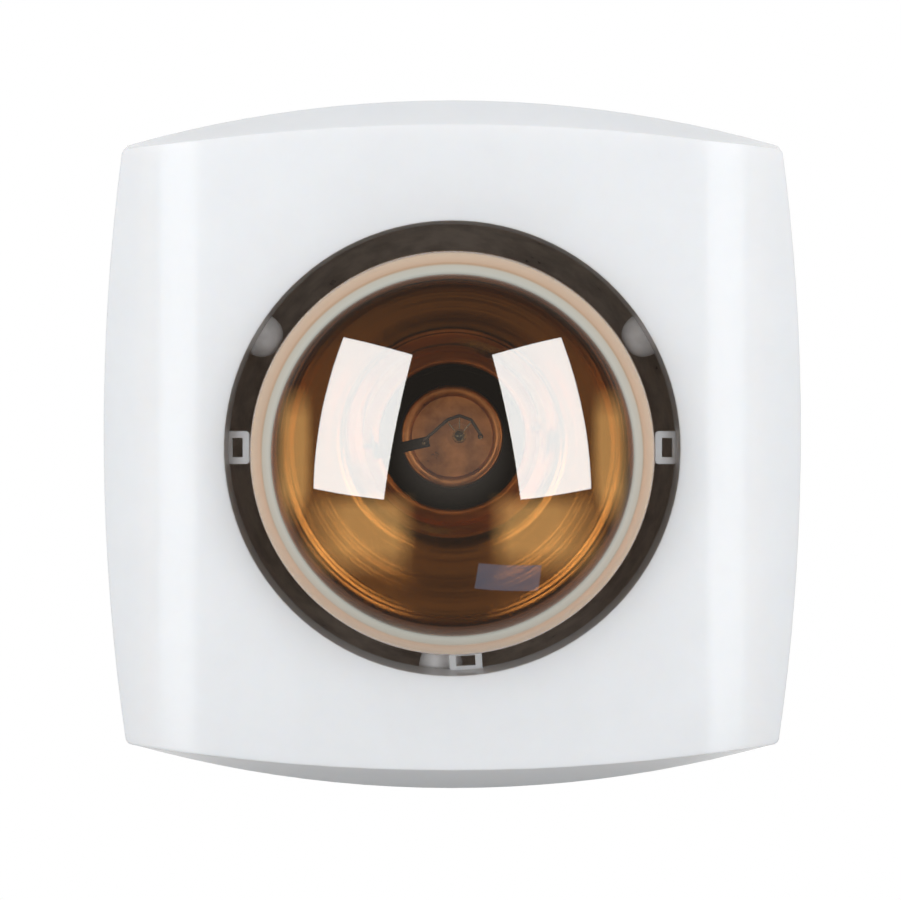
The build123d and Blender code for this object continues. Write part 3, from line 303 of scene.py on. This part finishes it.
# ABS moulded in a polished tool: even white, soft gloss
caseAbs = mouldedPlastic("caseAbs", "#EDEEF0", 0.16, 14, 0.02, edgeMm=0.7, shine=0.35, bleed=0.4)
# Spun aluminium. It is only a quarter metallic, which real aluminium is not: as full metal it comes out
# too dark, deep in the opening
linerAluminium = workedMetal("linerAluminium", "#D6CBC0", "#ABA097", 0.36, 0.6, ringsMm=1.2, bumpMm=0.01,
                             metallic=0.25)
# Folded galvanised sheet: cool grey, dull
galvanisedSheet = workedMetal("galvanisedSheet", "#B9BDC0", "#9A9FA3", 0.35, 0.5)
# Rolled steel screws, zinc plated: bright grey
zincScrew = workedMetal("zincScrew", "#C6C8CA", "#A3A6A8", 0.28, 0.25, bumpMm=0.006)
# Turned brass: warm yellow, fine tool marks
turnedBrass = workedMetal("turnedBrass", "#C9A65C", "#A8854A", 0.25, 0.3, bumpMm=0.006)
# Stamped phosphor bronze: browner than brass
springBronze = workedMetal("springBronze", "#B98B4E", "#96683A", 0.3, 0.4)
# Drawn brass, nickel plated: pale warm grey
nickelledBrass = workedMetal("nickelledBrass", "#BDB7AA", "#9F9788", 0.22, 0.4)
# Stamped brass, tinned: pale and soft
tinnedBrass = workedMetal("tinnedBrass", "#C4C1B6", "#A9A59A", 0.3, 0.4)
# Pressed steel, stained coppery brown by heat, with faint rings from the press
stainedSteel = workedMetal("heatStainedSteel", "#CC9468", "#94633F", 0.34, 0.8, ringsMm=1.4, bumpMm=0.02)
# Drawn nickel wire: grey, smooth
nickelWire = workedMetal("nickelWire", "#A8A39A", "#857F76", 0.25, 0.3)
# Drawn tungsten wire: dark grey, satin
tungstenWire = workedMetal("tungstenWire", "#55535A", "#3A383E", 0.4, 0.15, bumpMm=0.02)
# A drop of solder: dull grey, a little lumpy
tinSolder = workedMetal("tinSolder", "#B2AFA9", "#8E8B86", 0.3, 1.2, bumpMm=0.05)
# Steatite, pressed, fired and glazed
holderSteatite = glazedCeramic("holderSteatite", "#EFECE4")
# Black glass cast into the cap: glossy
blackVitrite = mouldedPlastic("blackVitrite", "#1B1A1D", 0.12, 2, 0.03, edgeMm=0.2)
# Compression-moulded phenolic: black, satin
blackPhenolic = mouldedPlastic("blackPhenolic", "#22201F", 0.4, 1.5, 0.02, edgeMm=0.3)
# Moulded nylon: off-white, waxy
paleNylon = mouldedPlastic("paleNylon", "#E6E4DC", 0.42, 2.0, 0.02, edgeMm=0.4)
# Moulded rubber: black, matt
blackRubber = mouldedPlastic("blackRubber", "#1F1F20", 0.6, 1.0, 0.03, edgeMm=0.3)
bumperSilicone = milkySilicone("bumperSilicone", "#FCFCFD")
brownWire = insulation("brownWire", "#5B3420")
redWire = insulation("redWire", "#8F2A22")
blueWire = insulation("blueWire", "#2E5F9E")
earthWire = insulation("earthWire", "#4E8E35", stripe="#D8C23A")
# Pressed glass tube, nearly colourless
stemGlass = blownGlass("stemGlass", "#E9EFEA", 0.05, 0.7, "#F4F7F5")
# The dome's outside carries the film and the rings of the rim, whose pale ring is a painted highlight; places
# run over the radius, 0 to 1
domeGlass = blownGlass("domeGlass", "#FAF3E6", 0.2, 0.8, "#FCFCFC", rimRingsAndHighlight={
    "from": 52.0,
    "to": 62.6,
    "amount": [(0.0, 0.0), (0.28, 0.05), (0.34, 0.75), (0.56, 0.8), (0.62, 0.5), (0.92, 0.55), (1.0, 0.2)],
    "tone": [(0.28, "#9C9E95"), (0.4, "#C8C9C0"), (0.57, "#C6C2B5"), (0.63, "#DDB48C"), (0.9, "#F2CFA8"),
             (1.0, "#7A5236")],
})
# The dome's inside is bare glass
domeInside = blownGlass("domeInside", "#FFFDF8", 0.03, 0.5, "#F8F6F2")
# Gold inside the bowl, the same coat seen through the glass from outside, and the neck painted dark grey as
# the shade deep inside it
bowlGold = goldMirror("bowlGold", "#F6DCB8", "#EDCFA6", 0.1)
bowlOutside = goldMirror("bowlOutside", "#B79A7C", "#8C7560", 0.12)
neckPaintedShade = goldMirror("neckPaintedShade", "#2A2B33", "#16171D", 0.08)
print("materials made")

cadFinishes = {
    "front_cover": caseAbs,
    "rear_housing": caseAbs,
    "cover_screws": zincScrew,
    "liner": linerAluminium,
    "liner_screws": zincScrew,
    "holder_bracket": galvanisedSheet,
    "bracket_screws": zincScrew,
    "holder_body": holderSteatite,
    "holder_screws": zincScrew,
    "holder_shell": turnedBrass,
    "centre_contact": springBronze,
    "holder_terminals": turnedBrass,
    "holder_terminal_screws": zincScrew,
    "glass_stem": stemGlass,
    "heat_deflector": stainedSteel,
    "lead_wires": nickelWire,
    "filament": tungstenWire,
    "filament_supports": nickelWire,
    "bulb_cap": nickelledBrass,
    "cap_insulator": blackVitrite,
    "cap_contact": tinSolder,
    "thermal_cutout": blackPhenolic,
    "cutout_tabs": tinnedBrass,
    "cutout_screws": zincScrew,
    "terminal_block": paleNylon,
    "terminal_tubes": turnedBrass,
    "terminal_screws": zincScrew,
    "terminal_block_screws": zincScrew,
    "earth_tag": tinnedBrass,
    "earth_screw": turnedBrass,
    "live_wire": brownWire,
    "switched_wire": redWire,
    "neutral_wire": blueWire,
    "earth_wire": earthWire,
    "cable_grommet": blackRubber,
    "cord_clamp": paleNylon,
    "cord_clamp_screws": zincScrew,
}
for name, finish in cadFinishes.items():
    mesh = nodes[name].data
    mesh.materials.clear()
    mesh.materials.append(finish)
print("solids finished:", len(cadFinishes))

# Bulb: the clear dome and the gilded bowl. Sizes in millimetres, reach is the distance from the wall

bulbSizes = {
    "rimReach": 172.0,
    "rimRadius": 13.8,
    "domeRadius": 132.0,
    "neckRadius": 23.5,
    "neckTop": 82.0,
    "neckBottom": 66.0,
    "shoulderEnd": 47.5,
    "neckEnd": 41.0,
    "neckEndRadius": 11.4,
    "neckShadeEnd": 85.0,  # below it the inside of the bowl is the neck, painted dark as its shade
    "fullness": 1.5,  # above 1 the bowl leaves the neck more slowly
    "wall": 1.2,
    "turns": 160,
    "rimSteps": 16,
    "domeSteps": 24,
    "footSteps": 8,
    "bowlSteps": 48,
}
rimCentre = bulbRadius / mm - bulbSizes["rimRadius"]


def bowlRadius(reach):
    share = (reach - bulbSizes["neckTop"]) / (bulbSizes["rimReach"] - bulbSizes["neckTop"])
    full = bulbRadius / mm - bulbSizes["neckRadius"]
    swell = math.sin(math.pi / 2 * min(1, max(0, share))) ** bulbSizes["fullness"]
    return bulbSizes["neckRadius"] + full * swell


def domeLine(inset):
    # From the widest place, round the rim and up to the middle of the dome
    sizes = bulbSizes
    rise = math.sqrt((sizes["domeRadius"] - sizes["rimRadius"]) ** 2 - rimCentre ** 2)
    centreReach = sizes["rimReach"] - rise
    turn = math.atan2(rimCentre, rise)
    points = []
    for step in range(sizes["rimSteps"] + 1):
        angle = math.pi / 2 - (math.pi / 2 - turn) * step / sizes["rimSteps"]
        points.append((rimCentre + (sizes["rimRadius"] - inset) * math.sin(angle),
                       sizes["rimReach"] + (sizes["rimRadius"] - inset) * math.cos(angle)))
    for step in range(1, sizes["domeSteps"] + 1):
        angle = turn * (1 - step / sizes["domeSteps"])
        points.append(((sizes["domeRadius"] - inset) * math.sin(angle),
                       centreReach + (sizes["domeRadius"] - inset) * math.cos(angle)))
    return points


def bowlLine(inset):
    # From the cap out to the neck in an S, then up the bowl to the widest place
    sizes = bulbSizes
    points = []
    for step in range(sizes["footSteps"] + 1):
        share = step / sizes["footSteps"]
        ease = share * share * (3 - 2 * share)
        points.append((sizes["neckEndRadius"] + (sizes["neckRadius"] - sizes["neckEndRadius"]) * ease - inset,
                       sizes["shoulderEnd"] + (sizes["neckBottom"] - sizes["shoulderEnd"]) * share))
    for step in range(sizes["bowlSteps"] + 1):
        reach = sizes["neckTop"] + (sizes["rimReach"] - sizes["neckTop"]) * step / sizes["bowlSteps"]
        points.append((bowlRadius(reach) - inset, reach))
    return points


def shell(outerLine, innerLine):
    # A closed wall between two lines of radius and reach, turned about the bulb's axis
    line = outerLine + innerLine[::-1] + outerLine[:1]
    points = [(radius * mm, -reach * mm, 0) for radius, reach in line]
    shape = spinProfile(points, (0, 1, 0), bulbSizes["turns"])
    bmesh.ops.recalc_face_normals(shape, faces=shape.faces)
    return shape


dome = shell(domeLine(0), domeLine(bulbSizes["wall"]))
rimMiddle = bulbRadius - bulbSizes["rimRadius"] * mm
for face in dome.faces:
    middle = face.calc_center_median()
    away = math.hypot(middle.x, middle.z)
    outward = -face.normal.y
    if away >= rimMiddle:
        # On the rim, outward is away from the centre of its rounding
        beyond = -middle.y - bulbSizes["rimReach"] * mm
        radial = middle.x * face.normal.x + middle.z * face.normal.z
        outward = beyond * -face.normal.y + (away - rimMiddle) * radial / away
    face.material_index = 1 if outward < 0 else 0
meshPiece("bulbDome", dome, [domeGlass, domeInside], "bulb", "bulb_glass")

wall = bulbSizes["wall"]
outerBowl = [(bulbSizes["neckEndRadius"], bulbSizes["neckEnd"])] + bowlLine(0)
innerBowl = [(bulbSizes["neckEndRadius"] - wall, bulbSizes["neckEnd"])] + bowlLine(wall)
bowl = shell(outerBowl, innerBowl)
for face in bowl.faces:
    middle = face.calc_center_median()
    outward = Vector((middle.x, 0, middle.z)).dot(face.normal)
    if outward > 0:
        face.material_index = 1
    # Inside the neck the bowl is painted dark as shade
    elif -middle.y < bulbSizes["neckShadeEnd"] * mm:
        face.material_index = 2
meshPiece("bulbBowl", bowl, [bowlGold, bowlOutside, neckPaintedShade], "bulb", "bulb_glass")
print("bulb made")

# Silicone bumpers: a domed head on a short stem, set in the liner and pointing at the bulb

bumperSizes = {
    "radius": 7.0,
    "height": 8.4,
    "seatRadius": 72.35,  # of the head's foot, from the bulb's axis
    "reach": 131.0,
    "stem": 2.0,
    "stemLength": 2.2,
    "undercut": 0.6,
    "footDepth": 0.15,
    "sideFullness": 0.9,  # both below 1, for a head fuller than a ball
    "topFullness": 0.8,
    "headSteps": 12,
    "turns": 40,
    "angles": {"bumper_left": 150.0, "bumper_right": 30.0, "bumper_bottom": 267.0},
}


def bumperLine(sizes):
    points = [(0, sizes["height"])]
    for step in range(1, sizes["headSteps"] + 1):
        turn = math.pi / 2 * step / sizes["headSteps"]
        points.append((sizes["radius"] * math.sin(turn) ** sizes["sideFullness"],
                       sizes["height"] * math.cos(turn) ** sizes["topFullness"]))
    foot = -sizes["footDepth"]
    end = -sizes["stemLength"]
    return points + [(sizes["radius"] - sizes["undercut"], foot), (sizes["stem"], foot), (sizes["stem"], end),
                     (0, end)]


for name, angle in bumperSizes["angles"].items():
    points = [(radius * mm, 0, height * mm) for radius, height in bumperLine(bumperSizes)]
    bumper = spinProfile(points, (0, 0, 1), bumperSizes["turns"])
    turn = math.radians(angle)
    outward = Vector((math.cos(turn), 0, math.sin(turn)))
    seat = outward * (bumperSizes["seatRadius"] * mm) + Vector((0, -bumperSizes["reach"] * mm, 0))
    facing = (-outward).to_track_quat("Z", "Y").to_matrix().to_4x4()
    bmesh.ops.transform(bumper, matrix=Matrix.Translation(seat) @ facing, verts=bumper.verts)
    label = "silicone" + name.split("_")[1].capitalize()
    meshPiece(label, bumper, [bumperSilicone], "housing", name)
print("bumpers made")

# Camera

cameraPlan = {
    "distance": 1.0,
    "elevation": 3.6,
    "focalPixels": 3175.0,
    "imagePixels": 901,
    "sensorMm": 36.0,
    "aimX": -0.00057,
    "aimZ": -0.00022,
}
camera = bpy.data.cameras.new("camera")
camera.sensor_width = cameraPlan["sensorMm"]
camera.lens = cameraPlan["focalPixels"] * camera.sensor_width / cameraPlan["imagePixels"]
cameraObject = bpy.data.objects.new("camera", camera)
scene.collection.objects.link(cameraObject)
aim = Vector((cameraPlan["aimX"], -frontReach, cameraPlan["aimZ"]))
tilt = math.radians(cameraPlan["elevation"])
back = Vector((0, -math.cos(tilt), math.sin(tilt)))
cameraObject.location = aim + back * cameraPlan["distance"]
cameraObject.rotation_euler = (-back).to_track_quat("-Z", "Y").to_euler()
scene.camera = cameraObject

# Light

lightPlan = {"ambient": 0.69, "below": 0.34, "tint": (0.98, 0.99, 1.0, 1.0)}
world = bpy.data.worlds.new("studio")
scene.world = world
world.use_nodes = True
air = world.node_tree
air.nodes.clear()
direction = addNode(air, "ShaderNodeTexCoord")
apart = addNode(air, "ShaderNodeSeparateXYZ", {}, {0: direction.outputs["Generated"]})
level = addNode(air, "ShaderNodeMapRange", {1: -0.5, 2: 0.5, 3: lightPlan["below"], 4: lightPlan["ambient"]},
                {0: apart.outputs[2]})
ambient = addNode(air, "ShaderNodeBackground", {"Color": lightPlan["tint"]}, {"Strength": level.outputs[0]})
white = addNode(air, "ShaderNodeBackground", {"Color": (1.0, 1.0, 1.0, 1.0), "Strength": 1.0})
path = addNode(air, "ShaderNodeLightPath")
first = addNode(air, "ShaderNodeMath", {"operation": "MAXIMUM"},
                {0: path.outputs["Is Camera Ray"], 1: path.outputs["Is Glossy Ray"]})
seen = addNode(air, "ShaderNodeMath", {"operation": "MAXIMUM"},
               {0: first.outputs[0], 1: path.outputs["Is Transmission Ray"]})
mixed = addNode(air, "ShaderNodeMixShader", {},
                {0: seen.outputs[0], 1: ambient.outputs[0], 2: white.outputs[0]})
addNode(air, "ShaderNodeOutputWorld", {}, {"Surface": mixed.outputs[0]})

lampMiddle = Vector((0, -frontReach, 0))


def aroundLamp(azimuth, elevation, distance):
    turn = math.radians(azimuth)
    rise = math.radians(elevation)
    return lampMiddle + distance * Vector((math.sin(turn) * math.cos(rise), -math.cos(turn) * math.cos(rise),
                                           math.sin(rise)))


# Two tall soft lights, one on each side, leaning with their feet apart
softboxPlan = {
    "azimuth": 27,
    "elevation": 7,
    "distance": 1.4,
    "width": 0.54,
    "height": 1.08,
    "power": 6.0,
    "lean": 9,
}
for name, side in {"softboxLeft": -1, "softboxRight": 1}.items():
    light = bpy.data.lights.new(name, "AREA")
    light.shape = "RECTANGLE"
    light.size = softboxPlan["width"]
    light.size_y = softboxPlan["height"]
    light.energy = softboxPlan["power"]
    box = bpy.data.objects.new(name, light)
    scene.collection.objects.link(box)
    azimuth = side * softboxPlan["azimuth"]
    box.location = aroundLamp(azimuth, softboxPlan["elevation"], softboxPlan["distance"])
    facing = (lampMiddle - box.location).to_track_quat("-Z", "Y").to_matrix()
    lean = Matrix.Rotation(math.radians(side * softboxPlan["lean"]), 3, "Z")
    box.rotation_euler = (facing @ lean).to_euler()
    box.visible_camera = False


def stagePiece(name, shape, paint, seenBy):
    # Set dressing that one kind of ray sees; the camera never does, unless seenBy is empty
    mesh = bpy.data.meshes.new(name)
    shape.to_mesh(mesh)
    shape.free()
    piece = bpy.data.objects.new(name, mesh)
    scene.collection.objects.link(piece)
    mesh.materials.append(paint)
    if seenBy:
        piece.visible_camera = False
        piece.visible_shadow = False
        piece.visible_diffuse = seenBy == "diffuse"
        piece.visible_glossy = seenBy == "glossy"
    else:
        piece.visible_glossy = False


# A glowing half shell in front of the lamp, which only reflections see: dark, paler in the middle and
# at its edge, with warm patches low down and at the sides. The patches stand where their reflections
# fall on the parts of the dome that are to look gold
roomPlan = {
    "radius": 2.4,
    "dark": "#46413C",
    "pale": "#7A746E",
    "wide": "#BDB8B1",
    "warm": "#FFC880",
    "warmGlow": 1.25,
    "middleZ": -0.1,
    "farthest": 3.4,
    "spans": [(0.09, "pale"), (0.2, "dark"), (0.57, "dark"), (0.68, "wide")],
    "lowAcross": (0.38, 0.62, 1.1, 1.6),
    "lowHeight": (-1.4, -1.1, -0.7, -0.5),
    "sideAcross": (1.45, 1.55, 1.7, 1.85),
    "sideHeight": (-0.9, -0.5, 0.25, 0.6),
}
roomStops = [(position, roomPlan[tone]) for position, tone in roomPlan["spans"]]
roomPaint, roomTree = startMaterial("roomPaint")
roomPlace = addNode(roomTree, "ShaderNodeTexCoord")
fromMiddle = addNode(roomTree, "ShaderNodeVectorMath",
                     {"operation": "DISTANCE", 1: (0.0, -roomPlan["radius"], roomPlan["middleZ"])},
                     {0: roomPlace.outputs["Object"]})
share = addNode(roomTree, "ShaderNodeMapRange", {1: 0.0, 2: roomPlan["farthest"]},
                {0: fromMiddle.outputs["Value"]})
roomTone = addNode(roomTree, "ShaderNodeValToRGB", {"stops": roomStops}, {"Fac": share.outputs[0]})
spot = addNode(roomTree, "ShaderNodeSeparateXYZ", {}, {0: roomPlace.outputs["Object"]})
sideways = addNode(roomTree, "ShaderNodeMath", {"operation": "ABSOLUTE"}, {0: spot.outputs[0]})


def softSpan(source, start, full, end, gone):
    # 1 between full and end, falling to 0 at start and gone
    rise = addNode(roomTree, "ShaderNodeMapRange", {1: start, 2: full}, {0: source})
    fall = addNode(roomTree, "ShaderNodeMapRange", {1: end, 2: gone, 3: 1.0, 4: 0.0}, {0: source})
    return addNode(roomTree, "ShaderNodeMath", {"operation": "MULTIPLY"},
                   {0: rise.outputs[0], 1: fall.outputs[0]})


def warmPatch(acrossSpan, heightSpan):
    across = softSpan(sideways.outputs[0], *acrossSpan)
    height = softSpan(spot.outputs[2], *heightSpan)
    return addNode(roomTree, "ShaderNodeMath", {"operation": "MULTIPLY"},
                   {0: across.outputs[0], 1: height.outputs[0]})


lowPatches = warmPatch(roomPlan["lowAcross"], roomPlan["lowHeight"])
sidePatches = warmPatch(roomPlan["sideAcross"], roomPlan["sideHeight"])
warm = addNode(roomTree, "ShaderNodeMath", {"operation": "MAXIMUM"},
               {0: lowPatches.outputs[0], 1: sidePatches.outputs[0]})
warmTone = addNode(roomTree, "ShaderNodeMix", {"data_type": "RGBA", 7: linear(roomPlan["warm"])},
                   {0: warm.outputs[0], 6: roomTone.outputs["Color"]})
warmLevel = addNode(roomTree, "ShaderNodeMapRange", {3: 1.0, 4: roomPlan["warmGlow"]}, {0: warm.outputs[0]})
roomGlow = addNode(roomTree, "ShaderNodeEmission", {},
                   {"Color": warmTone.outputs[2], "Strength": warmLevel.outputs[0]})
addNode(roomTree, "ShaderNodeOutputMaterial", {}, {"Surface": roomGlow.outputs[0]})
roomShape = bmesh.new()
bmesh.ops.create_uvsphere(roomShape, u_segments=48, v_segments=24, radius=roomPlan["radius"])
bmesh.ops.bisect_plane(roomShape, geom=roomShape.verts[:] + roomShape.edges[:] + roomShape.faces[:],
                       plane_co=(0, 0, 0), plane_no=(0, 1, 0), clear_outer=True)
bmesh.ops.reverse_faces(roomShape, faces=roomShape.faces)
stagePiece("darkRoom", roomShape, roomPaint, "glossy")


def card(width, height):
    shape = bmesh.new()
    bmesh.ops.create_grid(shape, x_segments=1, y_segments=1, size=0.5)
    bmesh.ops.scale(shape, vec=(width, height, 1), verts=shape.verts)
    return shape


# A dim bluish panel low on the right, which only reflections see
panelPlan = {
    "azimuth": 19,
    "elevation": -38,
    "distance": 1.8,
    "width": 0.54,
    "height": 0.24,
    "colour": "#7B93AE",
}
panelPaint, panelTree = startMaterial("panelPaint")
panelGlow = addNode(panelTree, "ShaderNodeEmission", {"Color": linear(panelPlan["colour"])})
addNode(panelTree, "ShaderNodeOutputMaterial", {}, {"Surface": panelGlow.outputs[0]})
panelPlace = aroundLamp(panelPlan["azimuth"], panelPlan["elevation"], panelPlan["distance"])
panelFacing = (-panelPlace).to_track_quat("Z", "Y").to_matrix().to_4x4()
panelShape = card(panelPlan["width"], panelPlan["height"])
bmesh.ops.transform(panelShape, matrix=Matrix.Translation(panelPlace) @ panelFacing, verts=panelShape.verts)
stagePiece("dimPanel", panelShape, panelPaint, "glossy")

# A dark card under the lamp, which keeps light off its lower brow
flagPlan = {
    "width": 0.5,
    "depth": 0.26,
    "place": (0, -0.1, -0.17),
    "colour": "#26262A",
    "roughness": 0.9,
}
flagPaint, flagTree = startMaterial("flagPaint")
flagShader = addNode(flagTree, "ShaderNodeBsdfPrincipled",
                     {"Base Color": linear(flagPlan["colour"]), "Roughness": flagPlan["roughness"]})
addNode(flagTree, "ShaderNodeOutputMaterial", {}, {"Surface": flagShader.outputs[0]})
flagShape = card(flagPlan["width"], flagPlan["depth"])
bmesh.ops.translate(flagShape, vec=flagPlan["place"], verts=flagShape.verts)
stagePiece("lowFlag", flagShape, flagPaint, "diffuse")

# A pale painted floor
floorPlan = {
    "radius": 1.2,
    "segments": 96,
    "place": (0, -0.1, -0.6),
    "tones": [(0.3, "#F6F6F5"), (0.7, "#FAFAF9")],
}
floorPaint, floorTree = startMaterial("floorPaint")
scuff = addNode(floorTree, "ShaderNodeTexNoise", {"Scale": 6.0, "Detail": 4.0})
floorTone = addNode(floorTree, "ShaderNodeValToRGB", {"stops": floorPlan["tones"]},
                    {"Fac": scuff.outputs["Fac"]})
floorShader = addNode(floorTree, "ShaderNodeBsdfPrincipled", {"Roughness": 0.8},
                      {"Base Color": floorTone.outputs["Color"]})
addNode(floorTree, "ShaderNodeOutputMaterial", {}, {"Surface": floorShader.outputs[0]})
floorShape = bmesh.new()
bmesh.ops.create_circle(floorShape, cap_ends=True, radius=floorPlan["radius"], segments=floorPlan["segments"])
bmesh.ops.translate(floorShape, vec=floorPlan["place"], verts=floorShape.verts)
stagePiece("floor", floorShape, floorPaint, None)

scene.view_settings.view_transform = "Standard"
print("studio set")
